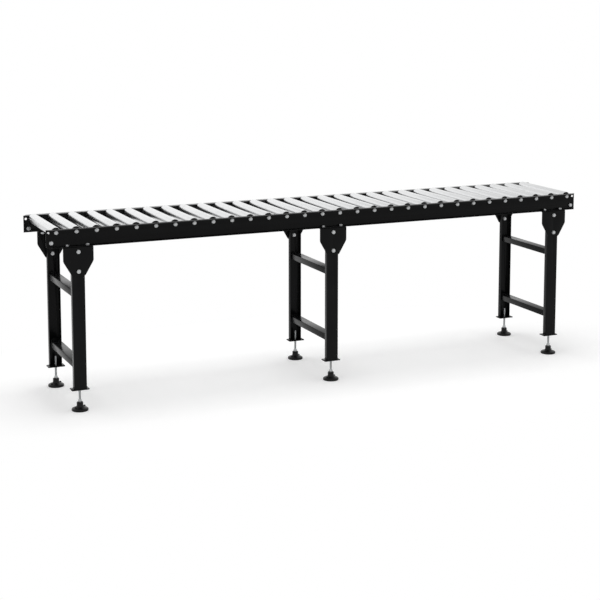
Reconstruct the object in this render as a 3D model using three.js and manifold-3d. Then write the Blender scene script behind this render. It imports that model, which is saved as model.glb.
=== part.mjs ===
// Gravity roller conveyor: free-turning rollers between two side rails, carried by three welded
// stands on levelling feet. Millimetres, +Z up. X runs along the conveyor and Y across it. The
// origin lies on the floor below the middle of the conveyor, and -Y is called the near side.
import * as THREE from 'three';
import Module from 'manifold-3d';
import { mergeVertices } from 'three/addons/utils/BufferGeometryUtils.js';

const wasm = await Module();
wasm.setup();

// ---- Driving dimensions --------------------------------------------------------------------

// Clearances
const FIT_GAP = 0.3; // between pieces that touch on the real conveyor
const BORE_CLEARANCE = 0.4; // radial, roller bore round its axle
const HOLE_CLEARANCE = 0.3; // radial, bolts and spindles in their holes
const SOCKET_CLEARANCE = 0.8; // radial, spindle ball in its pad
const MOUTH_CLEARANCE = 3.7; // radial, spindle in the top of the pad's neck, which lets it tilt
const ROLLER_END_GAP = 3; // roller end to rail web

// Roller bed
const ROLLER_COUNT = 30;
const ROLLER_PITCH = 100;
const END_MARGIN = 50; // outermost roller axis to the rail's end
const ROLLER_DIAMETER = 50;
const ROLLER_LENGTH = 450;
const TUBE_WALL = 1.5;
const CAP_DEPTH = 10; // bearing cap pressed into each end of the tube
const AXLE_DIAMETER = 12;
const AXLE_ENGAGEMENT = 6; // how far an axle end runs on past the bearing cap
const AXLE_NUT_FLATS = 18;
const AXLE_NUT_HEIGHT = 6.5;

// Side rails: channels with the web inboard and the flanges pointing outwards
const RAIL_HEIGHT = 86;
const RAIL_FLANGE = 32; // flange reach beyond the web's outer face
const RAIL_SHEET = 3;
const FLANGE_CORNER_CUT = 22; // each flange's outer corner is cut back this far from the rail's end
const AXLE_DROP = 16; // axle axis below the rail's top face
const JOINING_HOLE_DIAMETER = 12;
const JOINING_HOLE_INSET = 12; // hole axis to the rail's end, at axle height

// End bolts, which hold a joining plate or an end stop on the rail's web
const END_BOLT_INSET = 25; // bolt axis to the rail's end
const END_BOLT_RISE = 20; // bolt axis above the rail's bottom face

// Gusset brackets
const GUSSET_SHEET = 4;
const GUSSET_WIDTH = 150;
const GUSSET_SIDE = 71; // straight part of each side edge
const GUSSET_HEIGHT = 144;
const GUSSET_SHELF = 30; // bent-in flange below the rail
const RAIL_BOLT_SPACING = 100;
const RAIL_BOLT_GAUGE = 12.4; // rail bolt axis to the rail web's outer face
const RAIL_BOLT_SETBACK = 11.4; // rail bolt axis to the gusset plate's inner face
const UPPER_LEG_BOLT_DROP = 25.5; // below the rail's bottom face
const LOWER_LEG_BOLT_DROP = 122;
const BOLT_DIAMETER = 10;
const BOLT_FLATS = 17;
const BOLT_HEAD_HEIGHT = 6.4;
const BOLT_NUT_HEIGHT = 8;

// Stands
const STAND_INSET = 150; // end stand to the rail's end
const LEG_LENGTH = 700;
const LEG_WIDTH = 64;
const LEG_DEPTH = 29.5;
const LEG_SHEET = 3;
const BRACE_HEIGHT = 30;
const BRACE_SHEET = 2.5;
const BRACE_SIDE_GAP = 2; // brace side to the inside of the leg's flange
const WELD_OVERLAP = 0.5; // depth to which welded pieces run into each other
const LOWER_BRACE_RISE = 103; // leg's foot to the lower brace's underside
const UPPER_BRACE_DROP = 215; // leg's top to the upper brace's top
const FOOT_PLATE_LENGTH = 88;
const FOOT_PLATE_WIDTH = 50;
const FOOT_PLATE_THICKNESS = 5;

// Levelling feet
const PLATE_CLEAR_HEIGHT = 105; // floor to foot plate at the middle of the adjustment
const SPINDLE_SETBACK = 22.5; // spindle axis to the leg's outer face
const SPINDLE_DIAMETER = 12;
const SPINDLE_REACH = 50; // above the foot plate's top face
const SPINDLE_HEX_FLATS = 17;
const SPINDLE_HEX_HEIGHT = 9;
const BALL_DIAMETER = 20;
const BALL_HEIGHT = 26; // ball centre above the floor
const PAD_DIAMETER = 82;
const PAD_RIM_HEIGHT = 10;
const NECK_DIAMETER = 32;
const NECK_HEIGHT = 42;
const LIP_CATCH = 1.2; // how far the neck's lip reaches in over the ball, which it holds
const HEX_RISE = 3; // hexagon above the neck, which leaves room to tilt

// Facets
const ROLLER_SIDES = 16;
const PAD_SIDES = 16;
const SPINDLE_SIDES = 10;
const BOLT_SIDES = 6;
const HOLE_SIDES = 8;
const BALL_STEPS = 5; // from the ball's bottom to its neck, and the same in its socket

// ---- Sizes and places that follow ----------------------------------------------------------

const RAIL_LENGTH = (ROLLER_COUNT - 1) * ROLLER_PITCH + 2 * END_MARGIN;
const RAIL_END = RAIL_LENGTH / 2;
const WEB_INNER_Y = ROLLER_LENGTH / 2 + ROLLER_END_GAP;
const WEB_OUTER_Y = WEB_INNER_Y + RAIL_SHEET;
const RAIL_EDGE_Y = WEB_OUTER_Y + RAIL_FLANGE;
const RAIL_BOLT_Y = WEB_OUTER_Y + RAIL_BOLT_GAUGE;
const GUSSET_INNER_Y = RAIL_BOLT_Y + RAIL_BOLT_SETBACK;
const GUSSET_OUTER_Y = GUSSET_INNER_Y + GUSSET_SHEET;
const LEG_OUTER_Y = GUSSET_INNER_Y - FIT_GAP;
const LEG_WEB_INNER_Y = LEG_OUTER_Y - LEG_SHEET;
const SPINDLE_Y = LEG_OUTER_Y - SPINDLE_SETBACK;

const LEG_BOTTOM_Z = PLATE_CLEAR_HEIGHT + FOOT_PLATE_THICKNESS;
const LEG_TOP_Z = LEG_BOTTOM_Z + LEG_LENGTH;
const SHELF_BOTTOM_Z = LEG_TOP_Z + FIT_GAP;
const SHELF_TOP_Z = SHELF_BOTTOM_Z + GUSSET_SHEET;
const RAIL_BOTTOM_Z = SHELF_TOP_Z + FIT_GAP;
const RAIL_TOP_Z = RAIL_BOTTOM_Z + RAIL_HEIGHT;
const AXLE_Z = RAIL_TOP_Z - AXLE_DROP;
const END_BOLT_Z = RAIL_BOTTOM_Z + END_BOLT_RISE;
const LEG_BOLT_HEIGHTS = [RAIL_BOTTOM_Z - UPPER_LEG_BOLT_DROP, RAIL_BOTTOM_Z - LOWER_LEG_BOLT_DROP];
const RAIL_BOLT_OFFSETS = [-RAIL_BOLT_SPACING / 2, RAIL_BOLT_SPACING / 2];

const ROLLER_XS = Array.from({ length: ROLLER_COUNT }, (_, i) => i * ROLLER_PITCH + END_MARGIN - RAIL_END);
const STANDS = { left: STAND_INSET - RAIL_END, middle: 0, right: RAIL_END - STAND_INSET };
const ENDS = { left: END_BOLT_INSET - RAIL_END, right: RAIL_END - END_BOLT_INSET };
const SIDES = { near: 0, far: Math.PI }; // each far piece is its near piece turned half round

const BLACK_STEEL = { color: 0x16171a, roughness: 0.45, metalness: 0.3 };
const BRIGHT_TUBE = { color: 0xd8dadd, roughness: 0.25, metalness: 0.9 };
const ZINC = { color: 0xb9bcc0, roughness: 0.35, metalness: 0.9 };
const BLACK_PLASTIC = { color: 0x141414, roughness: 0.6, metalness: 0 };

// ---- Solid helpers -------------------------------------------------------------------------

// A closed geometry as a solid that can be joined and cut.
function solid(geometry) {
  geometry.deleteAttribute('normal');
  geometry.deleteAttribute('uv');
  const merged = mergeVertices(geometry, 1e-4);
  const mesh = new wasm.Mesh({
    numProp: 3,
    vertProperties: new Float32Array(merged.attributes.position.array),
    triVerts: new Uint32Array(merged.index.array),
  });
  return new wasm.Manifold(mesh);
}

function geometryOf(body) {
  const { vertProperties, triVerts } = body.getMesh();
  const geometry = new THREE.BufferGeometry();
  geometry.setAttribute('position', new THREE.BufferAttribute(vertProperties, 3));
  geometry.setIndex(new THREE.BufferAttribute(triVerts, 1));
  geometry.computeVertexNormals();
  return geometry;
}

function joined(bodies) {
  return bodies.reduce((whole, body) => whole.add(body));
}

function cut(body, tools) {
  return tools.reduce((rest, tool) => rest.subtract(tool), body);
}

// Which way each extrusion carries its outline's two directions and its own depth.
const ALONG = {
  x: [new THREE.Vector3(0, 1, 0), new THREE.Vector3(0, 0, 1), new THREE.Vector3(1, 0, 0)],
  y: [new THREE.Vector3(0, 0, 1), new THREE.Vector3(1, 0, 0), new THREE.Vector3(0, 1, 0)],
  z: [new THREE.Vector3(1, 0, 0), new THREE.Vector3(0, 1, 0), new THREE.Vector3(0, 0, 1)],
};

// An outline extruded along an axis between two stations. The outline's points are (y, z) along
// x, (z, x) along y and (x, y) along z.
function extruded(axis, outline, from, to) {
  const shape = new THREE.Shape(outline.map(([a, b]) => new THREE.Vector2(a, b)));
  const geometry = new THREE.ExtrudeGeometry(shape, { depth: to - from, bevelEnabled: false });
  geometry.translate(0, 0, from);
  geometry.applyMatrix4(new THREE.Matrix4().makeBasis(...ALONG[axis]));
  return solid(geometry);
}

function block([x0, x1], [y0, y1], [z0, z1]) {
  const geometry = new THREE.BoxGeometry(x1 - x0, y1 - y0, z1 - z0);
  geometry.translate((x0 + x1) / 2, (y0 + y1) / 2, (z0 + z1) / 2);
  return solid(geometry);
}

// A regular prism along an axis from one station to another, through (a, b) in the outline's plane.
function prism(axis, [a, b], radius, sides, from, to) {
  const corner = (i) => ((i + 0.5) * 2 * Math.PI) / sides;
  const outline = Array.from({ length: sides }, (_, i) => [
    a + radius * Math.cos(corner(i)),
    b + radius * Math.sin(corner(i)),
  ]);
  return extruded(axis, outline, from, to);
}

function hexagon(axis, centre, flats, from, to) {
  return prism(axis, centre, flats / Math.sqrt(3), 6, from, to);
}

// Corner radius of a faceted hole whose flats stay clear of a shaft of this diameter.
function clearHole(diameter) {
  return (diameter / 2 + HOLE_CLEARANCE) / Math.cos(Math.PI / HOLE_SIDES);
}

// A round body about Y from a profile of (radius, y) points.
function turned(profile, sides) {
  return new THREE.LatheGeometry(profile.map(([r, y]) => new THREE.Vector2(r, y)), sides);
}

// The same, standing up along Z.
function turnedUpright(profile, sides) {
  return turned(profile, sides).rotateX(Math.PI / 2);
}

function arc(radius, centreY, fromAngle, toAngle, steps) {
  return Array.from({ length: steps + 1 }, (_, i) => {
    const angle = fromAngle + ((toAngle - fromAngle) * i) / steps;
    return [Math.max(0, radius * Math.cos(angle)), centreY + radius * Math.sin(angle)];
  });
}

// ---- Pieces --------------------------------------------------------------------------------

// Tube with a bearing cap pressed into each end, bored for the axle.
function rollerGeometry() {
  const bore = AXLE_DIAMETER / 2 + BORE_CLEARANCE;
  const end = ROLLER_LENGTH / 2;
  const capInner = end - CAP_DEPTH;
  const tubeInner = ROLLER_DIAMETER / 2 - TUBE_WALL;
  const profile = [
    [ROLLER_DIAMETER / 2, -end],
    [ROLLER_DIAMETER / 2, end],
    [bore, end],
    [bore, capInner],
    [tubeInner, capInner],
    [tubeInner, -capInner],
    [bore, -capInner],
    [bore, -end],
    [ROLLER_DIAMETER / 2, -end],
  ];
  return geometryOf(solid(turned(profile, ROLLER_SIDES)));
}

// Near side rail, with the fixed axle ends and their nuts that carry the rollers on that side.
function railGeometry() {
  const channel = extruded('x', [
    [-WEB_INNER_Y, RAIL_BOTTOM_Z],
    [-WEB_INNER_Y, RAIL_TOP_Z],
    [-RAIL_EDGE_Y, RAIL_TOP_Z],
    [-RAIL_EDGE_Y, RAIL_TOP_Z - RAIL_SHEET],
    [-WEB_OUTER_Y, RAIL_TOP_Z - RAIL_SHEET],
    [-WEB_OUTER_Y, RAIL_BOTTOM_Z + RAIL_SHEET],
    [-RAIL_EDGE_Y, RAIL_BOTTOM_Z + RAIL_SHEET],
    [-RAIL_EDGE_Y, RAIL_BOTTOM_Z],
  ], -RAIL_END, RAIL_END);
  const axleEnd = ROLLER_END_GAP + CAP_DEPTH + AXLE_ENGAGEMENT;
  const axles = ROLLER_XS.flatMap((x) => [
    prism('y', [AXLE_Z, x], AXLE_DIAMETER / 2, BOLT_SIDES,
      -WEB_INNER_Y - RAIL_SHEET / 2, -WEB_INNER_Y + axleEnd),
    hexagon('y', [AXLE_Z, x], AXLE_NUT_FLATS,
      -WEB_OUTER_Y - AXLE_NUT_HEIGHT, -WEB_OUTER_Y + RAIL_SHEET / 2),
  ]);
  const webHole = (x, z, radius) =>
    prism('y', [z, x], radius, HOLE_SIDES, -WEB_OUTER_Y - 1, -WEB_INNER_Y + 1);
  const holes = [-1, 1].flatMap((end) => [
    webHole(end * (RAIL_END - JOINING_HOLE_INSET), AXLE_Z, JOINING_HOLE_DIAMETER / 2),
    webHole(end * (RAIL_END - END_BOLT_INSET), END_BOLT_Z, clearHole(BOLT_DIAMETER)),
  ]);
  const boltHoles = Object.values(STANDS).flatMap((standX) => RAIL_BOLT_OFFSETS.map((offset) =>
    prism('z', [standX + offset, -RAIL_BOLT_Y], clearHole(BOLT_DIAMETER), HOLE_SIDES,
      RAIL_BOTTOM_Z - 1, RAIL_BOTTOM_Z + RAIL_SHEET + 1)));
  const corners = [-1, 1].map((end) => extruded('z', [
    [end * RAIL_END, -WEB_OUTER_Y],
    [end * (RAIL_END - FLANGE_CORNER_CUT), -RAIL_EDGE_Y],
    [end * (RAIL_END - FLANGE_CORNER_CUT), -RAIL_EDGE_Y - 1],
    [end * (RAIL_END + 1), -RAIL_EDGE_Y - 1],
    [end * (RAIL_END + 1), -WEB_OUTER_Y],
  ], RAIL_BOTTOM_Z - 1, RAIL_TOP_Z + 1));
  return geometryOf(joined([cut(channel, [...holes, ...boltHoles, ...corners]), ...axles]));
}

// Bolt through the near rail's web at x = 0, with its head outside and its nut inside.
function endBoltGeometry() {
  const headFace = -WEB_OUTER_Y - FIT_GAP;
  const nutFace = -WEB_INNER_Y + FIT_GAP;
  const centre = [END_BOLT_Z, 0];
  return geometryOf(joined([
    prism('y', centre, BOLT_DIAMETER / 2, BOLT_SIDES, headFace - 1, nutFace + BOLT_NUT_HEIGHT + 2),
    hexagon('y', centre, BOLT_FLATS, headFace - BOLT_HEAD_HEIGHT, headFace),
    hexagon('y', centre, BOLT_FLATS, nutFace, nutFace + BOLT_NUT_HEIGHT),
  ]));
}

// Near gusset of a stand at x = 0: plate, shelf below the rail, two rail bolts, two leg bolts.
function gussetGeometry() {
  const half = GUSSET_WIDTH / 2;
  const sideBottom = SHELF_TOP_Z - GUSSET_SIDE;
  const bottom = SHELF_TOP_Z - GUSSET_HEIGHT;
  const plate = extruded('y', [
    [SHELF_TOP_Z, -half],
    [SHELF_TOP_Z, half],
    [sideBottom, half],
    [bottom, LEG_WIDTH / 2],
    [bottom, -LEG_WIDTH / 2],
    [sideBottom, -half],
  ], -GUSSET_OUTER_Y, -GUSSET_INNER_Y);
  const shelf = block([-half, half], [-GUSSET_OUTER_Y, -GUSSET_OUTER_Y + GUSSET_SHELF],
    [SHELF_BOTTOM_Z, SHELF_TOP_Z]);

  const railBoltHead = RAIL_BOTTOM_Z + RAIL_SHEET + FIT_GAP;
  const railBolts = RAIL_BOLT_OFFSETS.flatMap((x) => {
    const centre = [x, -RAIL_BOLT_Y];
    return [
      prism('z', centre, BOLT_DIAMETER / 2, BOLT_SIDES, SHELF_BOTTOM_Z - BOLT_NUT_HEIGHT - 2,
        railBoltHead + 1),
      hexagon('z', centre, BOLT_FLATS, railBoltHead, railBoltHead + BOLT_HEAD_HEIGHT),
      hexagon('z', centre, BOLT_FLATS, SHELF_BOTTOM_Z - BOLT_NUT_HEIGHT, SHELF_BOTTOM_Z + 1),
    ];
  });
  const nutFace = -LEG_WEB_INNER_Y + FIT_GAP;
  const legBolts = LEG_BOLT_HEIGHTS.flatMap((z) => {
    const centre = [z, 0];
    return [
      prism('y', centre, BOLT_DIAMETER / 2, BOLT_SIDES, -GUSSET_OUTER_Y - 1,
        nutFace + BOLT_NUT_HEIGHT + 2),
      hexagon('y', centre, BOLT_FLATS, -GUSSET_OUTER_Y - BOLT_HEAD_HEIGHT, -GUSSET_OUTER_Y + 1),
      hexagon('y', centre, BOLT_FLATS, nutFace, nutFace + BOLT_NUT_HEIGHT),
    ];
  });
  return geometryOf(joined([plate, shelf, ...railBolts, ...legBolts]));
}

// Welded stand at x = 0: two channel legs facing each other, two braces, two foot plates.
function standGeometry() {
  const halfLeg = LEG_WIDTH / 2;
  const halfInside = halfLeg - LEG_SHEET;
  const legTip = LEG_OUTER_Y - LEG_DEPTH;
  const outline = (side) => [
    [-halfLeg, side * LEG_OUTER_Y],
    [halfLeg, side * LEG_OUTER_Y],
    [halfLeg, side * legTip],
    [halfInside, side * legTip],
    [halfInside, side * LEG_WEB_INNER_Y],
    [-halfInside, side * LEG_WEB_INNER_Y],
    [-halfInside, side * legTip],
    [-halfLeg, side * legTip],
  ];
  const boltReach = LEG_OUTER_Y + 1;
  const boltHoles = LEG_BOLT_HEIGHTS.map((z) =>
    prism('y', [z, 0], clearHole(BOLT_DIAMETER), HOLE_SIDES, -boltReach, boltReach));
  const legs = [-1, 1].map((side) => extruded('z', outline(side), LEG_BOTTOM_Z, LEG_TOP_Z));
  const plates = [-1, 1].map((side) => cut(
    block([-FOOT_PLATE_LENGTH / 2, FOOT_PLATE_LENGTH / 2],
      [side * SPINDLE_Y - FOOT_PLATE_WIDTH / 2, side * SPINDLE_Y + FOOT_PLATE_WIDTH / 2],
      [PLATE_CLEAR_HEIGHT, LEG_BOTTOM_Z + WELD_OVERLAP]),
    [prism('z', [0, side * SPINDLE_Y], clearHole(SPINDLE_DIAMETER), HOLE_SIDES,
      PLATE_CLEAR_HEIGHT - 1, LEG_BOTTOM_Z + WELD_OVERLAP + 1)],
  ));

  const halfBrace = halfInside - BRACE_SIDE_GAP;
  const braceReach = LEG_WEB_INNER_Y + WELD_OVERLAP;
  const brace = (bottom) => {
    const top = bottom + BRACE_HEIGHT;
    return extruded('y', [
      [bottom, -halfBrace],
      [top, -halfBrace],
      [top, halfBrace],
      [bottom, halfBrace],
      [bottom, halfBrace - BRACE_SHEET],
      [top - BRACE_SHEET, halfBrace - BRACE_SHEET],
      [top - BRACE_SHEET, -halfBrace + BRACE_SHEET],
      [bottom, -halfBrace + BRACE_SHEET],
    ], -braceReach, braceReach);
  };
  const braces = [
    brace(LEG_BOTTOM_Z + LOWER_BRACE_RISE),
    brace(LEG_TOP_Z - UPPER_BRACE_DROP - BRACE_HEIGHT),
  ];
  return geometryOf(joined([cut(joined(legs), boltHoles), ...plates, ...braces]));
}

// Levelling spindle: ball, neck, spanner hexagon and screwed rod, on its own axis.
function spindleGeometry() {
  const rod = SPINDLE_DIAMETER / 2;
  const ball = BALL_DIAMETER / 2;
  const top = LEG_BOTTOM_Z + SPINDLE_REACH;
  const hexBottom = NECK_HEIGHT + HEX_RISE;
  const rodMeetsBall = Math.acos(rod / ball);
  const shaft = turnedUpright([
    ...arc(ball, BALL_HEIGHT, -Math.PI / 2, rodMeetsBall, BALL_STEPS),
    [rod, top],
    [0, top],
  ], SPINDLE_SIDES);
  const hex = hexagon('z', [0, 0], SPINDLE_HEX_FLATS, hexBottom, hexBottom + SPINDLE_HEX_HEIGHT);
  return geometryOf(solid(shaft).add(hex));
}

// Foot pad: flat base, domed flange, and a neck with the socket that holds the spindle's ball.
function padGeometry() {
  const rim = PAD_DIAMETER / 2;
  const neck = NECK_DIAMETER / 2;
  const mouth = SPINDLE_DIAMETER / 2 + MOUTH_CLEARANCE;
  const ball = BALL_DIAMETER / 2;
  const socket = ball + SOCKET_CLEARANCE;
  const lip = ball - LIP_CATCH;
  const lipRise = Math.sqrt(ball ** 2 - (lip - SOCKET_CLEARANCE) ** 2);
  const profile = [
    [0, 0],
    [rim, 0],
    [rim, PAD_RIM_HEIGHT],
    [neck, PAD_RIM_HEIGHT + 10],
    [neck, NECK_HEIGHT],
    [mouth, NECK_HEIGHT],
    [lip, BALL_HEIGHT + lipRise],
    ...arc(socket, BALL_HEIGHT, Math.asin(lipRise / socket), -Math.PI / 2, BALL_STEPS),
  ];
  return geometryOf(solid(turnedUpright(profile, PAD_SIDES)));
}

// ---- Assembly ------------------------------------------------------------------------------

const group = new THREE.Group();

function place(name, geometry, finish, { x = 0, y = 0, z = 0, turn = 0 } = {}) {
  const mesh = new THREE.Mesh(geometry, new THREE.MeshStandardMaterial(finish));
  mesh.name = name;
  mesh.position.set(x, y, z);
  mesh.rotation.z = turn;
  group.add(mesh);
}

const roller = rollerGeometry();
ROLLER_XS.forEach((x, i) => {
  place(`roller_${String(i + 1).padStart(2, '0')}`, roller, BRIGHT_TUBE, { x, z: AXLE_Z });
});

const rail = railGeometry();
Object.entries(SIDES).forEach(([side, turn]) => {
  place(`${side}_side_rail`, rail, BLACK_STEEL, { turn });
});

const endBolt = endBoltGeometry();
Object.entries(ENDS).forEach(([end, x]) => {
  Object.entries(SIDES).forEach(([side, turn]) => {
    place(`${end}_${side}_end_bolt`, endBolt, ZINC, { x, turn });
  });
});

const stand = standGeometry();
const gusset = gussetGeometry();
const spindle = spindleGeometry();
const pad = padGeometry();
Object.entries(STANDS).forEach(([stem, x]) => {
  place(`${stem}_stand_frame`, stand, BLACK_STEEL, { x });
  Object.entries(SIDES).forEach(([side, turn]) => {
    const y = -SPINDLE_Y * Math.cos(turn);
    place(`${stem}_${side}_gusset`, gusset, BLACK_STEEL, { x, turn });
    place(`${stem}_${side}_levelling_spindle`, spindle, ZINC, { x, y });
    place(`${stem}_${side}_foot_pad`, pad, BLACK_PLASTIC, { x, y });
  });
});

export default group;
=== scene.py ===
"""A gravity roller conveyor: rollers on fixed axles between two side rails, on three welded stands.

The file goes through the conveyor as it is put together: stands, levelling feet, gussets, rails,
end bolts, axles and rollers, and then the studio it stands in.
"""

import math

import bmesh
import bpy
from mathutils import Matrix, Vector


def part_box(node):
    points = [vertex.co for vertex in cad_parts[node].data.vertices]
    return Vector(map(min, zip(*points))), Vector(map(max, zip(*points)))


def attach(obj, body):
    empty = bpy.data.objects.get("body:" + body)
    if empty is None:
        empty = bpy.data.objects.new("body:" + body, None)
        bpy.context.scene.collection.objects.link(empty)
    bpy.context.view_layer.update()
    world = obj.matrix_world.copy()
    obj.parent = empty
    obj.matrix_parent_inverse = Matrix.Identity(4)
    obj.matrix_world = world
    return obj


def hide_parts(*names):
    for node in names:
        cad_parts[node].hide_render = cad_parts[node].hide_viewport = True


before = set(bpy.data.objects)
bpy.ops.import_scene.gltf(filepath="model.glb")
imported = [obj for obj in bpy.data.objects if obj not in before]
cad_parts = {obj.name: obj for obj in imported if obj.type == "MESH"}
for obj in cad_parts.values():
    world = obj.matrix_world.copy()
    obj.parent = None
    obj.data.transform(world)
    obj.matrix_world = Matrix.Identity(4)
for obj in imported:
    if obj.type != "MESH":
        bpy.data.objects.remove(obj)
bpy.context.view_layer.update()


# ---- Welded stands -----------------------------------------------------------------------------
# Each stand is a ladder of folded 3 mm sheet: two channel legs that face each other, two channel
# braces between them with their backs up, and a drilled foot plate below each leg. It is welded
# with small fillet beads and powder coated satin black as one piece.

LEG_WIDTH = 0.064
LEG_DEPTH = 0.0295
LEG_SHEET = 0.003
LEG_BEND = 0.0055
LEG_FACE_Y = 0.2545
LEG_BOLT_DROP = 0.0209
LEG_BOLT_SPREAD = 0.0965
BOLT_HOLE = 0.011
PUNCH_REACH = 0.02
PLATE_THICKNESS = 0.005
PLATE_CORNER = 0.004
SPINDLE_Y = 0.232
SPINDLE_HOLE = 0.0128
BRACE_WIDTH = 0.054
BRACE_HEIGHT = 0.030
BRACE_SHEET = 0.0025
BRACE_BEND = 0.0045
LOWER_BRACE_RISE = 0.103
UPPER_BRACE_DROP = 0.215
BEAD_RADIUS = 0.0026
BEAD_STEP = 0.0024
BEAD_STOP = 0.002
CUT_EDGE = 0.0004
PLATE_EDGE = 0.0006

stand_low, stand_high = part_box("middle_stand_frame")
plate_length = stand_high.x - stand_low.x
plate_edge_y = stand_high.y
leg_foot_z = stand_low.z + PLATE_THICKNESS
leg_top_z = stand_high.z
leg_length = leg_top_z - leg_foot_z


def hold(piece):
    """Makes a piece the only one that is selected."""
    bpy.ops.object.select_all(action="DESELECT")
    piece.select_set(True)
    bpy.context.view_layer.objects.active = piece


def settled(piece, name, location=(0, 0, 0), turn=(0, 0, 0)):
    """Turns and moves a piece, writes its place into its mesh and names it."""
    piece.name = piece.data.name = name
    piece.location = Vector(piece.location) + Vector(location)
    piece.rotation_euler = turn
    hold(piece)
    bpy.ops.object.transform_apply(location=True, rotation=True, scale=True)
    return piece


def copied(piece, name, location=(0, 0, 0), turn=(0, 0, 0)):
    """A copy with a mesh of its own, turned about the origin and then moved."""
    hold(piece)
    bpy.ops.object.duplicate(linked=False)
    return settled(bpy.context.object, name, location, turn)


def joined(name, parts):
    """One piece of several, which keeps the place of them all."""
    hold(parts[0])
    for part in parts[1:]:
        part.select_set(True)
    bpy.ops.object.join()
    return settled(parts[0], name)


def applied(piece, kind, **settings):
    """Finishes a piece with one modifier."""
    hold(piece)
    modifier = piece.modifiers.new(kind.title(), kind)
    for name, value in settings.items():
        setattr(modifier, name, value)
    bpy.ops.object.modifier_apply(modifier=modifier.name)
    return piece


def smoothed(piece, below=35):
    """Shades a piece smooth but for the edges that turn by more than some degrees."""
    hold(piece)
    bpy.ops.object.shade_smooth_by_angle(angle=math.radians(below))
    return piece


def eased(piece, width=CUT_EDGE, smooth_below=32):
    """Breaks the sharp edges of a piece and smooths what is round."""
    applied(piece, "BEVEL", width=width, segments=2, limit_method="ANGLE", angle_limit=math.radians(40))
    return smoothed(piece, smooth_below)


def editing(piece):
    hold(piece)
    bpy.ops.object.mode_set(mode="EDIT")
    bpy.ops.mesh.select_all(action="DESELECT")


def pick(piece, kind, test):
    """In edit mode, selects the vertices, edges or faces whose corners all pass the test."""
    bpy.ops.mesh.select_mode(type=kind)
    shape = bmesh.from_edit_mesh(piece.data)
    elements = {"VERT": shape.verts, "EDGE": shape.edges, "FACE": shape.faces}[kind]
    for element in elements:
        corners = [element] if kind == "VERT" else element.verts
        element.select_set(all(test(corner.co) for corner in corners))
    shape.select_flush_mode()
    bmesh.update_edit_mesh(piece.data)


def channel(name, length, width, depth, sheet, bend):
    """A folded channel along X, with its back in the XZ plane facing -Y and its flanges to +Y."""
    bpy.ops.mesh.primitive_plane_add(size=1, rotation=(math.pi / 2, 0, 0))
    back = settled(bpy.context.object, name, turn=(math.pi / 2, 0, 0))
    back.scale = (length, 1, width)
    settled(back, name)
    editing(back)
    for side in (-1, 1):
        pick(back, "EDGE", lambda co: abs(co.z - side * width / 2) < 1e-5 and abs(co.y) < 1e-5)
        bpy.ops.mesh.extrude_region_move(TRANSFORM_OT_translate={"value": (0, depth, 0)})
    pick(back, "EDGE", lambda co: abs(abs(co.z) - width / 2) < 1e-5 and abs(co.y) < 1e-5)
    shape = bmesh.from_edit_mesh(back.data)
    for edge in shape.edges:
        if abs(edge.verts[0].co.x - edge.verts[1].co.x) < 1e-5:
            edge.select_set(False)
    bpy.ops.mesh.bevel(offset=bend, segments=6, affect="EDGES")
    bpy.ops.object.mode_set(mode="OBJECT")
    return applied(back, "SOLIDIFY", thickness=sheet, offset=-1, use_even_offset=True)


ALONG = {"X": (0, math.pi / 2, 0), "Y": (math.pi / 2, 0, 0), "Z": (0, 0, 0)}


def punched(piece, axis, diameter, places, reach=PUNCH_REACH):
    """Cuts round holes of one size through a piece."""
    cutters = []
    for place in places:
        bpy.ops.mesh.primitive_cylinder_add(
            vertices=40, radius=diameter / 2, depth=reach, location=place
        )
        cutters.append(settled(bpy.context.object, "punch", turn=ALONG[axis]))
    tool = joined("punch", cutters)
    applied(piece, "BOOLEAN", operation="DIFFERENCE", object=tool, solver="EXACT")
    bpy.data.objects.remove(tool)
    return piece


def turned(name, stations, sides, ring=False):
    """A round body about Z: a circle extruded and resized from one (radius, height) to the next.

    A ring's last station meets its first, and any other body is closed at both ends."""
    radius, height = stations[0]
    bpy.ops.mesh.primitive_circle_add(
        vertices=sides, radius=radius, location=(0, 0, height), fill_type="NOTHING" if ring else "NGON"
    )
    body = settled(bpy.context.object, name)
    editing(body)
    bpy.ops.mesh.select_all(action="SELECT")
    for next_radius, next_height in stations[1:]:
        bpy.ops.mesh.extrude_region_move(
            TRANSFORM_OT_translate={"value": (0, 0, next_height - height)}
        )
        if next_radius != radius:
            scale = next_radius / radius
            bpy.ops.transform.resize(
                value=(scale, scale, 1), center_override=(0, 0, next_height)
            )
        radius, height = next_radius, next_height
    bpy.ops.mesh.select_all(action="SELECT")
    if ring:
        bpy.ops.mesh.remove_doubles(threshold=1e-6)
    bpy.ops.mesh.normals_make_consistent(inside=False)
    bpy.ops.object.mode_set(mode="OBJECT")
    return body


def weld_bead(name, start, end):
    """A fillet bead with the ripples that its puddles leave, from one point to another."""
    run = Vector(end) - Vector(start)
    steps = round(run.length / BEAD_STEP)
    stations = [(BEAD_RADIUS * 0.5, 0)]
    for step in range(1, steps):
        stations.append((BEAD_RADIUS * (1 if step % 2 else 0.84), run.length * step / steps))
    stations.append((BEAD_RADIUS * 0.5, run.length))
    bead = turned(name, stations, 10)
    return settled(bead, name, start, run.to_track_quat("Z", "Y").to_euler())


leg = channel("leg", leg_length, LEG_WIDTH, LEG_DEPTH, LEG_SHEET, LEG_BEND)
settled(leg, "leg", (0, -LEG_FACE_Y, (leg_foot_z + leg_top_z) / 2), ALONG["X"])
leg_bolt_zs = [leg_top_z - LEG_BOLT_DROP, leg_top_z - LEG_BOLT_DROP - LEG_BOLT_SPREAD]
punched(leg, "Y", BOLT_HOLE, [(0, -LEG_FACE_Y, z) for z in leg_bolt_zs])
eased(leg)

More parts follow.
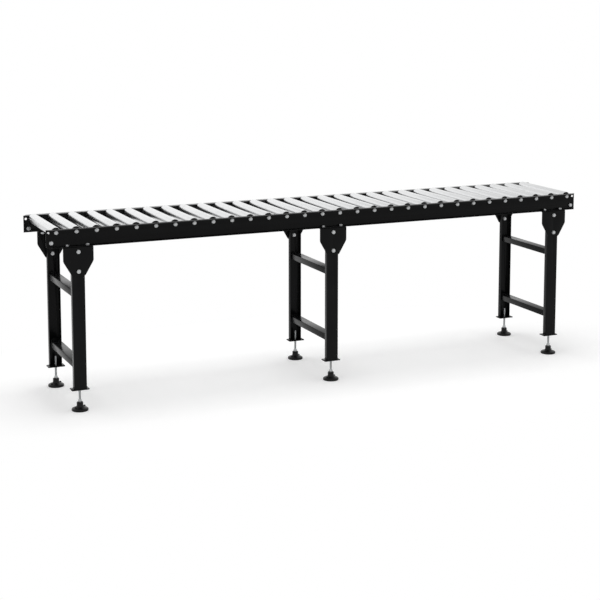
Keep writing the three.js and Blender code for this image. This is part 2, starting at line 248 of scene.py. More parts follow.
bpy.ops.mesh.primitive_cube_add(size=1, location=(0, -SPINDLE_Y, stand_low.z + PLATE_THICKNESS / 2))
plate = bpy.context.object
plate.scale = (plate_length, 2 * (plate_edge_y - SPINDLE_Y), PLATE_THICKNESS)
settled(plate, "foot_plate")
editing(plate)
bpy.ops.mesh.select_mode(type="EDGE")
shape = bmesh.from_edit_mesh(plate.data)
for edge in shape.edges:
    edge.select_set(abs(edge.verts[0].co.z - edge.verts[1].co.z) > PLATE_THICKNESS / 2)
bpy.ops.mesh.bevel(offset=PLATE_CORNER, segments=5, affect="EDGES")
bpy.ops.object.mode_set(mode="OBJECT")
punched(plate, "Z", SPINDLE_HOLE, [(0, -SPINDLE_Y, stand_low.z)])
eased(plate, PLATE_EDGE)

brace_length = 2 * (LEG_FACE_Y - LEG_SHEET)
brace_turn = (-math.pi / 2, 0, math.pi / 2)
brace = channel("brace", brace_length, BRACE_WIDTH, BRACE_HEIGHT, BRACE_SHEET, BRACE_BEND)
lower_top_z = leg_foot_z + LOWER_BRACE_RISE + BRACE_HEIGHT
upper_top_z = leg_top_z - UPPER_BRACE_DROP
settled(brace, "brace", (0, 0, lower_top_z), brace_turn)
eased(brace)
upper_brace = copied(brace, "upper_brace", (0, 0, upper_top_z - lower_top_z))

bead_y = LEG_FACE_Y - LEG_SHEET - BEAD_RADIUS * 0.3
beads = []
for top_z in (lower_top_z, upper_top_z):
    half = BRACE_WIDTH / 2 - BRACE_BEND
    beads.append(weld_bead("bead", (-half, -bead_y, top_z), (half, -bead_y, top_z)))
    for side in (-1, 1):
        x = side * BRACE_WIDTH / 2
        foot_z = top_z - BRACE_HEIGHT
        beads.append(weld_bead("bead", (x, -bead_y, top_z - BRACE_BEND), (x, -bead_y, foot_z)))
half = LEG_WIDTH / 2 - LEG_BEND
beads.append(weld_bead("bead", (-half, -LEG_FACE_Y, leg_foot_z), (half, -LEG_FACE_Y, leg_foot_z)))
for side in (-1, 1):
    x = side * LEG_WIDTH / 2
    toe_y = -LEG_FACE_Y + LEG_DEPTH - BEAD_STOP
    beads.append(weld_bead("bead", (x, -LEG_FACE_Y + LEG_BEND, leg_foot_z), (x, toe_y, leg_foot_z)))
near_beads = joined("near_beads", beads)
hold(near_beads)
bpy.ops.object.shade_smooth()
half_stand = joined("half_stand", [leg, plate, near_beads])
other_half = copied(half_stand, "other_half", turn=(0, 0, math.pi))
ladder = joined("ladder", [half_stand, other_half, brace, upper_brace])


class Wire:
    """A value in a material that can be written in sums with numbers and other values."""

    def __init__(self, finish, socket):
        self.finish = finish
        self.socket = socket

    def combined(self, operation, *values):
        return self.finish.node("ShaderNodeMath", {"operation": operation}, dict(enumerate(values)))

    def __add__(self, other):
        return self.combined("ADD", self, other)

    def __radd__(self, other):
        return self.combined("ADD", other, self)

    def __sub__(self, other):
        return self.combined("SUBTRACT", self, other)

    def __rsub__(self, other):
        return self.combined("SUBTRACT", other, self)

    def __mul__(self, other):
        return self.combined("MULTIPLY", self, other)

    def __rmul__(self, other):
        return self.combined("MULTIPLY", other, self)


class Finish:
    """A material's or the world's nodes, written out one after another."""

    def __init__(self, owner):
        owner.use_nodes = True
        self.owner = owner
        self.tree = owner.node_tree
        self.tree.nodes.clear()

    def node(self, kind, settings=None, values=None, output=0):
        made = self.tree.nodes.new(kind)
        for name, setting in (settings or {}).items():
            if name == "stops":
                stops = made.color_ramp.elements
                while len(stops) < len(setting):
                    stops.new(0.5)
                for stop, (position, shade) in zip(stops, setting):
                    stop.position = position
                    stop.color = (shade, shade, shade, 1)
            else:
                setattr(made, name, setting)
        for name, value in (values or {}).items():
            if isinstance(value, Wire):
                self.tree.links.new(value.socket, made.inputs[name])
            else:
                made.inputs[name].default_value = value
        return Wire(self, made.outputs[output] if made.outputs else None)

    def place(self):
        return self.node("ShaderNodeTexCoord", output="Object")

    def stretched(self, place, scale):
        return self.node("ShaderNodeVectorMath", {"operation": "MULTIPLY"}, {0: place, 1: scale})

    def noise(self, place, scale, detail=2.0, roughness=0.5):
        values = {"Vector": place, "Scale": scale, "Detail": detail, "Roughness": roughness}
        return self.node("ShaderNodeTexNoise", values=values)

    def ramp(self, value, *stops):
        return self.node("ShaderNodeValToRGB", {"stops": stops}, {0: value})

    def mixed(self, share, first, second):
        values = {0: share, 6: first, 7: second}
        return self.node("ShaderNodeMix", {"data_type": "RGBA"}, values, "Result")

    def bump(self, height, distance, strength=1.0, normal=None):
        values = {"Height": height, "Distance": distance, "Strength": strength}
        if normal:
            values["Normal"] = normal
        return self.node("ShaderNodeBump", values=values)

    def shine(self, **values):
        """The surface itself, which ends the material. Names are the shader's, with _ for a space."""
        values = {name.replace("_", " "): value for name, value in values.items()}
        surface = self.node("ShaderNodeBsdfPrincipled", values=values)
        self.node("ShaderNodeOutputMaterial", values={"Surface": surface})
        return self.owner


def rgb(red, green, blue):
    return (red, green, blue, 1)


coat = Finish(bpy.data.materials.new("satin_black_powder_coat"))
at = coat.place()
peel = coat.noise(at, 520, 1.5)
specks = coat.noise(at, 2600, 1)
cloud = coat.noise(at, 9, 4)
rub = coat.ramp(coat.noise(coat.stretched(at, (1, 1, 0.22)), 60, 5, 0.65), (0.58, 0), (0.74, 1))
edge = coat.node("ShaderNodeNewGeometry", output="Pointiness")
worn = coat.ramp(edge, (0.52, 0), (0.60, 1)) * coat.ramp(cloud, (0.35, 0.25), (0.7, 1))
plain_black = coat.mixed(cloud, rgb(0.0034, 0.0035, 0.0038), rgb(0.0052, 0.0053, 0.0056))
dusty_black = coat.mixed(rub * 0.35, plain_black, rgb(0.012, 0.012, 0.012))
powder_coat = coat.shine(
    Base_Color=coat.mixed(worn * 0.5, dusty_black, rgb(0.022, 0.022, 0.023)),
    Roughness=0.15 + cloud * 0.08 + specks * 0.05 + rub * 0.06,
    IOR=1.18,
    Normal=coat.bump(specks, 0.00002, normal=coat.bump(peel, 0.00006)),
)


def finished(piece, material, body="frame", node=None):
    """Gives a piece its finish, hangs it on the body that it moves with, and hides the CAD node that it
    stands for.
    """
    piece.data.materials.clear()
    piece.data.materials.append(material)
    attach(piece, body)
    if node:
        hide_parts(node)
    return piece


stands = {}
for place in ("left", "middle", "right"):
    low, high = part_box(f"{place}_stand_frame")
    stands[place] = (low.x + high.x) / 2
for place, x in stands.items():
    weldment = copied(ladder, f"{place}_stand_weldment", (x, 0, 0))
    finished(weldment, powder_coat, node=f"{place}_stand_frame")
bpy.data.objects.remove(ladder)


# ---- Foot pads ---------------------------------------------------------------------------------
# Each foot stands on a moulded black nylon pad: a round flange that domes up to a neck, with a
# socket inside for the spindle's ball, and two raised bosses through which it can be screwed down.

PAD_RECESS = [(0.0300, 0.0012), (0.0310, 0.0)]
PAD_FLANGE = [
    (0.0398, 0.0), (0.0409, 0.0010), (0.0410, 0.0020), (0.0410, 0.0066), (0.0407, 0.0084), (0.0398, 0.0100),
]
PAD_DOME = [(0.0382, 0.0112), (0.0345, 0.0130), (0.0295, 0.0149), (0.0245, 0.0168), (0.0205, 0.0187)]
PAD_NECK = [
    (0.0180, 0.0207), (0.0166, 0.0232), (0.0161, 0.0262),
    (0.0160, 0.0405), (0.0157, 0.0415), (0.0149, 0.0420),
]
PAD_MOUTH = [(0.0102, 0.0420), (0.0097, 0.0415), (0.0089, 0.0324), (0.0090, 0.0318)]
SOCKET_RADIUS = 0.0108
BALL_HEIGHT = 0.026
BOSS = [
    (0.0058, 0.0110), (0.0058, 0.0196), (0.0054, 0.0203), (0.0047, 0.0206), (0.0033, 0.0206),
    (0.0029, 0.0202), (0.0029, 0.0125),
]
BOSS_REACH = 0.0272
BOSS_TURN = math.radians(24)

socket = []
for step in range(10):
    angle = math.radians(28 - 11.6 * step)
    socket.append((SOCKET_RADIUS * math.cos(angle), BALL_HEIGHT + SOCKET_RADIUS * math.sin(angle)))
pad = turned("pad", PAD_RECESS + PAD_FLANGE + PAD_DOME + PAD_NECK + PAD_MOUTH + socket, 72)
bosses = []
for side in (0, math.pi):
    angle = BOSS_TURN + side
    place = (BOSS_REACH * math.cos(angle), BOSS_REACH * math.sin(angle), 0)
    bosses.append(settled(turned("boss", BOSS, 32), "boss", place))
pad = smoothed(joined("pad", [pad] + bosses))

nylon = Finish(bpy.data.materials.new("moulded_black_nylon"))
at = nylon.place()
grain = nylon.noise(at, 1500, 2)
flow = nylon.noise(nylon.stretched(at, (1, 1, 2.5)), 45, 4)
dust = nylon.ramp(nylon.noise(at, 130, 6, 0.7), (0.46, 0), (0.70, 1))
moulded_black = nylon.mixed(flow, rgb(0.0034, 0.0034, 0.0036), rgb(0.0060, 0.0060, 0.0062))
black_nylon = nylon.shine(
    Base_Color=nylon.mixed(dust * 0.3, moulded_black, rgb(0.016, 0.016, 0.015)),
    Roughness=0.26 + grain * 0.08 + dust * 0.14,
    IOR=1.28,
    Normal=nylon.bump(grain, 0.00004, normal=nylon.bump(flow, 0.0001, 0.6)),
)

feet = []
for place, x in stands.items():
    for side, y in (("near", -SPINDLE_Y), ("far", SPINDLE_Y)):
        feet.append((f"{place}_{side}", x, y))
for foot, x, y in feet:
    moulding = copied(pad, f"{foot}_pad_moulding", (x, y, 0))
    finished(moulding, black_nylon, f"{foot}_pad", f"{foot}_foot_pad")
bpy.data.objects.remove(pad)


# ---- Levelling spindles ------------------------------------------------------------------------
# A zinc plated M12 spindle: a ball forged on its lower end, a short shank, a hexagon for the
# spanner, and a rolled thread that runs up through the foot plate into the leg.

THREAD_PITCH = 0.00175
THREAD_FORM = [
    (0, 0.00495), (0.125, 0.00495), (0.4375, 0.006), (0.5625, 0.006), (0.875, 0.00495), (1, 0.00495),
]
THREAD_FOOT = 0.0545
THREAD_TOP = 0.160
HEXAGON_FLATS = 0.017
HEXAGON_FOOT = 0.045
HEXAGON_HEIGHT = 0.009
BALL_RADIUS = 0.010
SHANK_RADIUS = 0.0056
SHANK_FOOT = 0.0350
COLLAR_RADIUS = 0.0066
COLLAR_TIP = 0.0058


def hexagon(name, flats, height):
    """A hexagon that stands on z = 0, with its corners turned off to a cone at both ends."""
    bpy.ops.mesh.primitive_cylinder_add(
        vertices=6, radius=flats / math.sqrt(3), depth=height, location=(0, 0, height / 2)
    )
    blank = settled(bpy.context.object, name)
    wide = flats * 0.585
    narrow = flats * 0.475
    slope = (wide - narrow) * math.tan(math.radians(30))
    envelope = turned("envelope", [(narrow, 0), (wide, slope), (wide, height - slope), (narrow, height)], 48)
    applied(blank, "BOOLEAN", operation="INTERSECT", object=envelope, solver="EXACT")
    bpy.data.objects.remove(envelope)
    return eased(blank, 0.0002, 28)


def threaded(name, bottom, top):
    """A rod with a real helical thread between two heights."""
    turns = math.ceil((top - bottom) / THREAD_PITCH) + 3
    bpy.ops.mesh.primitive_plane_add(size=THREAD_PITCH, rotation=(math.pi / 2, 0, 0))
    rod = settled(bpy.context.object, name, turn=(math.pi / 2, 0, 0))
    editing(rod)
    pick(rod, "VERT", lambda co: co.x < 0)
    bpy.ops.mesh.delete(type="VERT")
    bpy.ops.mesh.select_all(action="SELECT")
    bpy.ops.mesh.subdivide(number_cuts=len(THREAD_FORM) - 2)
    shape = bmesh.from_edit_mesh(rod.data)
    for corner, (share, radius) in zip(sorted(shape.verts, key=lambda corner: corner.co.z), THREAD_FORM):
        corner.co = (radius, 0, bottom + (share - 1) * THREAD_PITCH)
    bmesh.update_edit_mesh(rod.data)
    bpy.ops.object.mode_set(mode="OBJECT")
    turn = {"axis": "Z", "angle": 2 * math.pi, "screw_offset": THREAD_PITCH, "iterations": turns}
    applied(rod, "SCREW", steps=20, render_steps=20, use_merge_vertices=False, **turn)
    editing(rod)
    bpy.ops.mesh.select_all(action="SELECT")
    bpy.ops.mesh.remove_doubles(threshold=1e-5)
    bpy.ops.mesh.normals_make_consistent(inside=False)
    for height, clear_below in ((bottom, True), (top, False)):
        bpy.ops.mesh.select_all(action="SELECT")
        bpy.ops.mesh.bisect(
            plane_co=(0, 0, height), plane_no=(0, 0, 1), use_fill=True,
            clear_inner=clear_below, clear_outer=not clear_below,
        )
    pick(rod, "VERT", lambda co: co.z > top - 1e-5)
    bpy.ops.transform.resize(value=(0.86, 0.86, 1), center_override=(0, 0, top))
    bpy.ops.mesh.select_all(action="SELECT")
    bpy.ops.mesh.normals_make_consistent(inside=False)
    bpy.ops.object.mode_set(mode="OBJECT")
    return smoothed(rod, 40)


ball = []
for step in range(13):
    angle = math.radians(-88 + step * 11.8)
    ball.append((BALL_RADIUS * math.cos(angle), BALL_HEIGHT + BALL_RADIUS * math.sin(angle)))
shank = [(SHANK_RADIUS, SHANK_FOOT), (SHANK_RADIUS, HEXAGON_FOOT + 0.001)]
collar_foot = HEXAGON_FOOT + HEXAGON_HEIGHT - 0.0005
collar = [(COLLAR_RADIUS, collar_foot), (COLLAR_RADIUS, THREAD_FOOT + 0.0010)]
collar.append((COLLAR_TIP, THREAD_FOOT + 0.0022))
lower_end = smoothed(turned("lower_end", ball + shank, 40))
collar = smoothed(turned("collar", collar, 40))
spanner_hexagon = hexagon("hexagon", HEXAGON_FLATS, HEXAGON_HEIGHT)
settled(spanner_hexagon, "hexagon", (0, 0, HEXAGON_FOOT))
thread = threaded("thread", THREAD_FOOT, THREAD_TOP)
spindle = joined("spindle", [thread, lower_end, collar, spanner_hexagon])

plate_zinc = Finish(bpy.data.materials.new("bright_zinc_plate"))
at = plate_zinc.place()
haze = plate_zinc.noise(at, 70, 5, 0.6)
scratch = plate_zinc.noise(plate_zinc.stretched(at, (1, 1, 0.12)), 900, 3)
tarnish = plate_zinc.ramp(plate_zinc.noise(at, 210, 4), (0.52, 0), (0.72, 1))
passivated = plate_zinc.mixed(haze, rgb(0.40, 0.42, 0.44), rgb(0.53, 0.53, 0.52))
zinc_plate = plate_zinc.shine(
    Base_Color=plate_zinc.mixed(tarnish * 0.4, passivated, rgb(0.28, 0.28, 0.27)),
    Metallic=1.0,
    Roughness=0.22 + haze * 0.14 + tarnish * 0.12,
    Normal=plate_zinc.bump(scratch, 0.00002, 0.7, plate_zinc.bump(haze, 0.00005, 0.5)),
)

for foot, x, y in feet:
    forging = copied(spindle, f"{foot}_threaded_spindle", (x, y, 0))
    finished(forging, zinc_plate, f"{foot}_spindle", f"{foot}_levelling_spindle")
bpy.data.objects.remove(spindle)


# ---- Gussets -----------------------------------------------------------------------------------
# A plate is blanked from 4 mm sheet with a tapered outline and folded into a shelf along its top.
# Two bolts clamp the shelf below a rail, and two more fix the plate to the face of a leg.

GUSSET_SHEET = 0.004
GUSSET_BEND = 0.0065
GUSSET_HALF = 0.075
GUSSET_SIDE = 0.071
GUSSET_TAIL_HALF = 0.032
GUSSET_TAIL = 0.144
GUSSET_SHELF = 0.030
GUSSET_CORNER = 0.007
BOLT_RADIUS = 0.005
BOLT_FLATS = 0.017
BOLT_TIP = 0.0042
BOLT_CHAMFER = 0.0009
BOLT_SUNK = 0.003
BOLT_HEAD = 0.0055
BOLT_NUT = 0.008
HEAD_RIM = [(0.0062, 0), (0.0060, 0.0004), (0.0052, 0.0005), (0.0050, 0.0002)]
WASHER_EDGE = 0.0004
GUSSET_PUNCH = 0.03
LEG_BOLT_TAIL = 0.0125
RAIL_BOLT_TAIL = 0.0120
WASHER_RADIUS = 0.0100
WASHER_THICKNESS = 0.0018
RAIL_BOLT_X = 0.050
RAIL_BOLT_Y = 0.2434
RAIL_SHEET = 0.003
FIT_GAP = 0.0003

rail_low, rail_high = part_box("near_side_rail")
gusset_face_y = LEG_FACE_Y + FIT_GAP + GUSSET_SHEET
rail_bottom_z = rail_low.z
rail_top_z = rail_high.z
shelf_top_z = rail_bottom_z - FIT_GAP

bpy.ops.mesh.primitive_plane_add(size=1, rotation=(math.pi / 2, 0, 0))
gusset = settled(bpy.context.object, "gusset", turn=(math.pi / 2, 0, 0))
gusset.scale = (2 * GUSSET_HALF, 1, GUSSET_TAIL)
settled(gusset, "gusset", (0, -gusset_face_y, shelf_top_z - GUSSET_TAIL / 2))
editing(gusset)
for side in (-1, 1):
    shoulder = Vector((side * GUSSET_HALF, 0, shelf_top_z - GUSSET_SIDE))
    tail = Vector((side * GUSSET_TAIL_HALF, 0, shelf_top_z - GUSSET_TAIL))
    outward = Vector((0, 1, 0)).cross(shoulder - tail) * side
    bpy.ops.mesh.select_all(action="SELECT")
    bpy.ops.mesh.bisect(plane_co=shoulder, plane_no=outward, clear_outer=True)
pick(gusset, "VERT", lambda co: co.z < shelf_top_z - 0.01)
bpy.ops.mesh.bevel(offset=GUSSET_CORNER, segments=6, affect="VERTICES")
pick(gusset, "EDGE", lambda co: co.z > shelf_top_z - 1e-5)
bpy.ops.mesh.extrude_region_move(TRANSFORM_OT_translate={"value": (0, GUSSET_SHELF, 0)})
pick(gusset, "VERT", lambda co: co.y > -gusset_face_y + GUSSET_SHELF / 2)
bpy.ops.mesh.bevel(offset=GUSSET_CORNER, segments=6, affect="VERTICES")
pick(gusset, "EDGE", lambda co: co.z > shelf_top_z - 1e-5 and co.y < -gusset_face_y + 1e-5)
bpy.ops.mesh.bevel(offset=GUSSET_BEND, segments=6, affect="EDGES")
bpy.ops.object.mode_set(mode="OBJECT")
applied(gusset, "SOLIDIFY", thickness=GUSSET_SHEET, offset=-1, use_even_offset=True)
shelf_holes = [(x, -RAIL_BOLT_Y, shelf_top_z) for x in (-RAIL_BOLT_X, RAIL_BOLT_X)]
punched(gusset, "Z", BOLT_HOLE, shelf_holes, GUSSET_PUNCH)
punched(gusset, "Y", BOLT_HOLE, [(0, -gusset_face_y, z) for z in leg_bolt_zs], GUSSET_PUNCH)
eased(gusset, PLATE_EDGE)


def washer(name, radius, bore, thickness):
    """A flat washer that stands on z = 0, with the rolled edge that stamping leaves on one side."""
    outline = [(bore, 0), (radius, 0), (radius, thickness - WASHER_EDGE)]
    outline += [(radius - WASHER_EDGE, thickness), (bore, thickness)]
    ring = turned(name, outline + outline[:1], 40, ring=True)
    return eased(ring, 0.00012)


def bolt(name, grip, reach):
    """A hexagon bolt with two washers and a nut that clamps a stack from z = -grip to z = 0."""
    head = settled(hexagon("head", BOLT_FLATS, BOLT_HEAD), "head", (0, 0, WASHER_THICKNESS))
    dish = turned("dish", HEAD_RIM, 32)
    settled(dish, "dish", (0, 0, WASHER_THICKNESS + BOLT_HEAD))
    upper = washer("upper", WASHER_RADIUS, BOLT_RADIUS, WASHER_THICKNESS)
    lower = copied(upper, "lower", (0, 0, -grip), (math.pi, 0, 0))
    nut_place = -grip - WASHER_THICKNESS - BOLT_NUT
    nut = settled(hexagon("nut", BOLT_FLATS, BOLT_NUT), "nut", (0, 0, nut_place))
    shank = [(BOLT_TIP, -reach), (BOLT_RADIUS, -reach + BOLT_CHAMFER), (BOLT_RADIUS, BOLT_SUNK)]
    shank = smoothed(turned("shank", shank, 32))
    return joined(name, [head, dish, upper, lower, nut, shank])


leg_grip = gusset_face_y - (LEG_FACE_Y - LEG_SHEET)
leg_bolt = bolt("leg_bolt", leg_grip, leg_grip + LEG_BOLT_TAIL)
rail_grip = RAIL_SHEET + FIT_GAP + GUSSET_SHEET
rail_bolt = bolt("rail_bolt", rail_grip, rail_grip + RAIL_BOLT_TAIL)
gusset_bolts = []
for turn, z in zip((0.3, 1.1), leg_bolt_zs):
    turned_bolt = copied(leg_bolt, "leg_bolt", turn=(0, 0, turn))
    gusset_bolts.append(settled(turned_bolt, "leg_bolt", (0, -gusset_face_y, z), ALONG["Y"]))
for turn, x in ((0.2, -RAIL_BOLT_X), (0.8, RAIL_BOLT_X)):
    place = (x, -RAIL_BOLT_Y, rail_bottom_z + RAIL_SHEET)
    gusset_bolts.append(copied(rail_bolt, "rail_bolt", place, (0, 0, turn)))
bpy.data.objects.remove(leg_bolt)
bpy.data.objects.remove(rail_bolt)
gusset_bolts = joined("gusset_bolts", gusset_bolts)

for place, x in stands.items():
    for side, turn in (("near", 0), ("far", math.pi)):
        bracket = copied(gusset, f"{place}_{side}_gusset_plate", (x, 0, 0), (0, 0, turn))
        finished(bracket, powder_coat, node=f"{place}_{side}_gusset")
        fixings = copied(gusset_bolts, f"{place}_{side}_gusset_bolts", (x, 0, 0), (0, 0, turn))
        finished(fixings, zinc_plate)
bpy.data.objects.remove(gusset)
bpy.data.objects.remove(gusset_bolts)


# ---- Side rails --------------------------------------------------------------------------------
# Each rail is a channel rolled from 3 mm sheet, with its web beside the rollers and its flanges
# pointing outwards. It is punched for the axles and the bolts, and once near each end for a joint.

RAIL_BEND = 0.005
RAIL_DEPTH = 0.035
CORNER_CUT = 0.022
CORNER_ROOT = 0.0004
AXLE_DROP = 0.016
END_BOLT_INSET = 0.025
END_BOLT_RISE = 0.020
JOINING_INSET = 0.012
JOINING_HOLE = 0.012
AXLE_HOLE = 0.0128
RAIL_EDGE = 0.0005
END_BOLT_TAIL = 0.0125
PITCH = 0.100
ROLLERS = 30

rail_length = rail_high.x - rail_low.x
web_inner_y = -rail_low.y - RAIL_DEPTH
web_centre_y = web_inner_y + RAIL_SHEET / 2
rail_end = rail_high.x
axle_z = rail_top_z - AXLE_DROP
roller_xs = [(i - (ROLLERS - 1) / 2) * PITCH for i in range(ROLLERS)]

rail = channel("rail", rail_length, rail_top_z - rail_bottom_z, RAIL_DEPTH, RAIL_SHEET, RAIL_BEND)
settled(rail, "rail", (0, -web_inner_y, (rail_top_z + rail_bottom_z) / 2), (0, 0, math.pi))
for end in (-1, 1):
    root = Vector((end * rail_end, -web_inner_y - RAIL_SHEET - CORNER_ROOT, 0))
    tip = Vector((end * (rail_end - CORNER_CUT), -web_inner_y - RAIL_DEPTH, 0))
    editing(rail)
    bpy.ops.mesh.select_all(action="SELECT")
    bpy.ops.mesh.bisect(
        plane_co=root, plane_no=(root - tip).cross(Vector((0, 0, end))), clear_outer=True
    )
    bpy.ops.mesh.select_all(action="SELECT")
    bpy.ops.mesh.fill_holes(sides=0)
    bpy.ops.object.mode_set(mode="OBJECT")
punched(rail, "Y", AXLE_HOLE, [(x, -web_centre_y, axle_z) for x in roller_xs])
joining_xs = (JOINING_INSET - rail_end, rail_end - JOINING_INSET)
punched(rail, "Y", JOINING_HOLE, [(x, -web_centre_y, axle_z) for x in joining_xs])
end_bolt_z = rail_bottom_z + END_BOLT_RISE
end_bolt_xs = (END_BOLT_INSET - rail_end, rail_end - END_BOLT_INSET)
punched(rail, "Y", BOLT_HOLE, [(x, -web_centre_y, end_bolt_z) for x in end_bolt_xs])
rail_bolt_places = []
for x in stands.values():
    for offset in (-RAIL_BOLT_X, RAIL_BOLT_X):
        rail_bolt_places.append((x + offset, -RAIL_BOLT_Y, rail_bottom_z))
punched(rail, "Z", BOLT_HOLE, rail_bolt_places)
eased(rail, RAIL_EDGE)
applied(rail, "TRIANGULATE", ngon_method="CLIP")
for side, turn in (("near", 0), ("far", math.pi)):
    channel_rail = copied(rail, f"{side}_rail_channel", turn=(0, 0, turn))
    finished(channel_rail, powder_coat, node=f"{side}_side_rail")
bpy.data.objects.remove(rail)


# ---- End bolts ---------------------------------------------------------------------------------
# A zinc plated M10 bolt stands in the web at each end of each rail, with its head outside and its
# nut inside. It waits for the joining plate or end stop that the conveyor is set up with.

web_outer_y = web_inner_y + RAIL_SHEET
end_bolt = bolt("end_bolt", RAIL_SHEET, RAIL_SHEET + END_BOLT_TAIL)
settled(end_bolt, "end_bolt", (0, -web_outer_y, end_bolt_z), ALONG["Y"])
for end, x in zip(("left", "right"), end_bolt_xs):
    for side, turn in (("near", 0), ("far", math.pi)):
        fixing = copied(end_bolt, f"{end}_{side}_end_bolt_and_nut", (x, 0, 0), (0, 0, turn))
        finished(fixing, zinc_plate, node=f"{end}_{side}_end_bolt")
bpy.data.objects.remove(end_bolt)


# ---- Axles -------------------------------------------------------------------------------------
# Every roller turns on a fixed 12 mm steel axle that passes through both webs. Its ends are
# threaded, and each carries a washer and a thin nut in the outer channel of the rail.

AXLE_RADIUS = 0.006
AXLE_NUT_FLATS = 0.018
AXLE_NUT_HEIGHT = 0.0056
AXLE_WASHER_RADIUS = 0.0100
AXLE_WASHER_THICKNESS = 0.0012
AXLE_WASHER_PLAY = 0.0004
AXLE_TAIL = 0.0018
THREAD_GROOVES = 5
GROOVE_PITCH = 0.0016
GROOVE_DEPTH = 0.0006
AXLE_CHAMFER = 0.0010
AXLE_TURN = 1.9

axle_half = web_outer_y + AXLE_WASHER_THICKNESS + AXLE_NUT_HEIGHT + AXLE_TAIL
axle_outline = [(AXLE_RADIUS - AXLE_CHAMFER, 0), (AXLE_RADIUS, AXLE_CHAMFER)]
for groove in range(1, THREAD_GROOVES + 1):
    foot = AXLE_CHAMFER + groove * GROOVE_PITCH
    axle_outline.append((AXLE_RADIUS, foot - GROOVE_PITCH / 2))
    axle_outline.append((AXLE_RADIUS - GROOVE_DEPTH, foot - GROOVE_PITCH / 4))
    axle_outline.append((AXLE_RADIUS, foot))
axle_outline = [(radius, z - axle_half) for radius, z in axle_outline]
axle_outline += [(radius, -z) for radius, z in reversed(axle_outline)]
axle = smoothed(turned("axle", axle_outline, 32), 30)
axle_washer = washer(
    "axle_washer", AXLE_WASHER_RADIUS, AXLE_RADIUS + AXLE_WASHER_PLAY, AXLE_WASHER_THICKNESS
)
settled(axle_washer, "axle_washer", (0, 0, web_outer_y))
nut_place = web_outer_y + AXLE_WASHER_THICKNESS
axle_nut = hexagon("axle_nut", AXLE_NUT_FLATS, AXLE_NUT_HEIGHT)
settled(axle_nut, "axle_nut", (0, 0, nut_place))
axle_end = joined("axle_end", [axle_washer, axle_nut])
other_end = copied(axle_end, "other_end", turn=(math.pi, 0, 0.4))
axle = settled(joined("axle", [axle, axle_end, other_end]), "axle", turn=ALONG["Y"])
for number, x in enumerate(roller_xs, 1):
    spun = copied(axle, f"axle_{number:02}", turn=(0, number * AXLE_TURN, 0))
    settled(spun, f"axle_{number:02}", (x, 0, axle_z))
    finished(spun, zinc_plate)
bpy.data.objects.remove(axle)


# ---- Rollers -----------------------------------------------------------------------------------
# A roller is a bright zinc coated tube whose ends are rolled in over two pressed bearing cups.
# Each cup is black and holds the steel races that run on the axle.

TUBE_HALF = 0.225
TUBE_END = [
    (0.0226, 0.0013), (0.0232, 0.0004), (0.0239, 0.0), (0.0245, 0.0002), (0.0249, 0.0008), (0.0250, 0.0018),
]
TUBE_INNER = 0.0235
TUBE_LIP = 0.0030
ROLLER_TURN = 2.4
CUP = [
    (0.0098, 0.0018), (0.0106, 0.0010), (0.0122, 0.0008), (0.0132, 0.0014), (0.0142, 0.0030),
    (0.0190, 0.0032), (0.0202, 0.0020), (0.0212, 0.0012), (0.0225, 0.0011), (0.0233, 0.0018),
    (0.0234, 0.0100), (0.0098, 0.0100),
]
RACE = [
    (0.0064, 0.0014), (0.0068, 0.0010), (0.0075, 0.0010), (0.0077, 0.0018), (0.0091, 0.0018),
    (0.0093, 0.0012), (0.0097, 0.0012), (0.0097, 0.0095), (0.0064, 0.0095),
]

tube_outline = [(radius, -TUBE_HALF + depth) for radius, depth in TUBE_END]
tube_outline += [(radius, -z) for radius, z in reversed(tube_outline)]
tube_outline += [(TUBE_INNER, TUBE_HALF - TUBE_LIP), (TUBE_INNER, -TUBE_HALF + TUBE_LIP)]
tube = turned("tube", tube_outline + tube_outline[:1], 72, ring=True)


def both_ends(name, outline):
    """A ring at each end of the roller, from a profile of radius and depth below the tube's end."""
    profile = [(radius, TUBE_HALF - depth) for radius, depth in outline]
    ring = turned("ring", profile + profile[:1], 56, ring=True)
    return joined(name, [ring, copied(ring, "ring", turn=(math.pi, 0, 0))])


cups = both_ends("cups", CUP)
races = both_ends("races", RACE)
for part in (tube, cups, races):
    settled(smoothed(part), part.name, turn=ALONG["Y"])

drawn = Finish(bpy.data.materials.new("bright_drawn_tube"))
at = drawn.place()
fine = drawn.noise(drawn.stretched(at, (1, 40, 1)), 60, 4, 0.6)
lapped = drawn.noise(drawn.stretched(at, (0.1, 9, 0.1)), 130, 3)
bands = drawn.noise(drawn.stretched(at, (7, 1.4, 0.4)), 3.1, 3, 0.6)
stains = drawn.ramp(drawn.noise(at, 38, 5, 0.6), (0.52, 0), (0.78, 1))
silver = drawn.mixed(bands, rgb(0.57, 0.58, 0.59), rgb(0.68, 0.68, 0.68))
bright_tube = drawn.shine(
    Base_Color=drawn.mixed(stains * 0.25, silver, rgb(0.48, 0.48, 0.47)),
    Metallic=1.0,
    Roughness=0.20 + bands * 0.10 + lapped * 0.06 + stains * 0.06,
    Normal=drawn.bump(lapped, 0.00003, 0.8, drawn.bump(fine, 0.00002, 0.6)),
)

cup_coat = Finish(bpy.data.materials.new("pressed_black_cup"))
at = cup_coat.place()
speckle = cup_coat.noise(at, 900, 3)
smear = cup_coat.noise(at, 120, 4)
black_cup = cup_coat.shine(
    Base_Color=cup_coat.mixed(smear, rgb(0.008, 0.008, 0.009), rgb(0.022, 0.022, 0.022)),
    Roughness=0.28 + smear * 0.16 + speckle * 0.06,
    IOR=1.58,
    Normal=cup_coat.bump(speckle, 0.00003),
)

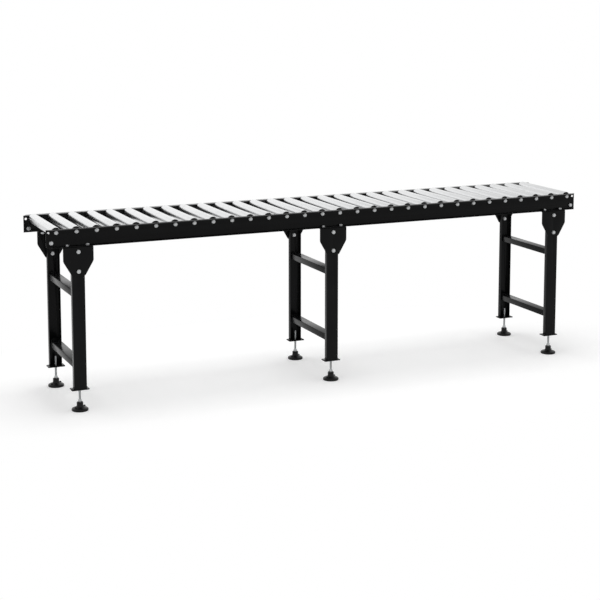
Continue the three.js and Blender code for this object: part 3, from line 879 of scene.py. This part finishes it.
for number, x in enumerate(roller_xs, 1):
    body = f"roller_{number:02}"
    turn = (0, number * ROLLER_TURN, 0)
    for part, name, material, slot in (
        (tube, "tube", bright_tube, "bright_tube"),
        (cups, "bearing_cups", black_cup, "black_plastic"),
        (races, "bearing_races", zinc_plate, "zinc_steel"),
    ):
        piece = copied(part, f"{body}_{name}", (x, 0, axle_z), turn)
        finished(piece, material, body, body if name == "tube" else None)
for part in (tube, cups, races):
    bpy.data.objects.remove(part)


# ---- Studio ------------------------------------------------------------------------------------
# The conveyor stands on a wide pale floor in a white room, below two soft lights of different size
# and in front of a weak one that gives the tubes their bright streak.

FLOOR_SIZE = 60
PAPER = rgb(0.8, 0.8, 0.8)
PAPER_GLOW = 0.275
WHITE_FROM = 0.070
WHITE_BEYOND = 0.125
ROOM_LIGHT = 0.50


def looked_at(finish):
    """1 where the camera, a gloss or a glass looks, and 0 for the light that surfaces give each other."""
    seen = finish.node("ShaderNodeLightPath", output="Is Camera Ray")
    seen = seen + finish.node("ShaderNodeLightPath", output="Is Glossy Ray")
    return seen + finish.node("ShaderNodeLightPath", output="Is Transmission Ray")


bpy.ops.mesh.primitive_plane_add(size=FLOOR_SIZE)
floor = settled(bpy.context.object, "studio_floor")
paper = Finish(bpy.data.materials.new("pale_floor"))
squeezed = paper.stretched(paper.place(), (0.05, 0.1, 0.1))
away = paper.node("ShaderNodeVectorMath", {"operation": "LENGTH"}, {0: squeezed}, "Value")
far = paper.ramp(away, (WHITE_FROM, 0), (WHITE_BEYOND, 1))
lit = paper.node("ShaderNodeBsdfDiffuse", values={"Color": PAPER})
glow = paper.node("ShaderNodeEmission", values={"Color": rgb(1, 1, 1), "Strength": PAPER_GLOW})
white = paper.node("ShaderNodeEmission", values={"Color": rgb(1, 1, 1), "Strength": 1.0})
near = paper.node("ShaderNodeAddShader", values={0: lit, 1: glow})
shown = paper.node("ShaderNodeMixShader", values={0: far, 1: near, 2: white})
surface = paper.node("ShaderNodeMixShader", values={0: looked_at(paper), 1: lit, 2: shown})
paper.node("ShaderNodeOutputMaterial", values={"Surface": surface})
floor.data.materials.append(paper.owner)

world = bpy.data.worlds.new("white_room")
bpy.context.scene.world = world
room = Finish(world)
seen = looked_at(room)
strength = seen + (1 - seen) * ROOM_LIGHT
sky = room.node("ShaderNodeBackground", values={"Color": rgb(1, 1, 1), "Strength": strength})
room.node("ShaderNodeOutputWorld", values={"Surface": sky})

LIGHTS = [
    ("overhead_softbox", (0.0, 0.3, 5.0), (0, 0, 0), (9.0, 6.0), 112, False),
    ("middle_softbox", (0.0, 0.2, 4.6), (0, 0, 0), (3.0, 1.5), 58, False),
    ("back_softbox", (-1.0, 5.2, 2.4), (math.radians(-82), 0, 0), (9.0, 2.6), 24, True),
]
for name, location, turn, size, power, mirrored in LIGHTS:
    lamp = bpy.data.lights.new(name, "AREA")
    lamp.shape = "RECTANGLE"
    lamp.size, lamp.size_y = size
    lamp.energy = power
    light = bpy.data.objects.new(name, lamp)
    light.location = location
    light.rotation_euler = turn
    light.visible_camera = False
    light.visible_glossy = mirrored
    bpy.context.scene.collection.objects.link(light)
bpy.context.scene.view_settings.view_transform = "Standard"


# ---- Camera ------------------------------------------------------------------------------------
# It stands to the left in front of the conveyor, a little above it, and looks slightly down.

CAMERA_PLACE = (-3.1332, -6.9080, 2.0753)
CAMERA_YAW = 0.4169
CAMERA_PITCH = 0.1288
LENS = 86.52
LENS_SHIFT = -0.22

lens = bpy.data.cameras.new("camera")
lens.sensor_width = 36
lens.lens = LENS
lens.shift_y = LENS_SHIFT
lens.clip_end = 200
camera = bpy.data.objects.new("camera", lens)
camera.location = CAMERA_PLACE
camera.rotation_euler = (math.pi / 2 - CAMERA_PITCH, 0, -CAMERA_YAW)
bpy.context.scene.collection.objects.link(camera)
bpy.context.scene.camera = camera
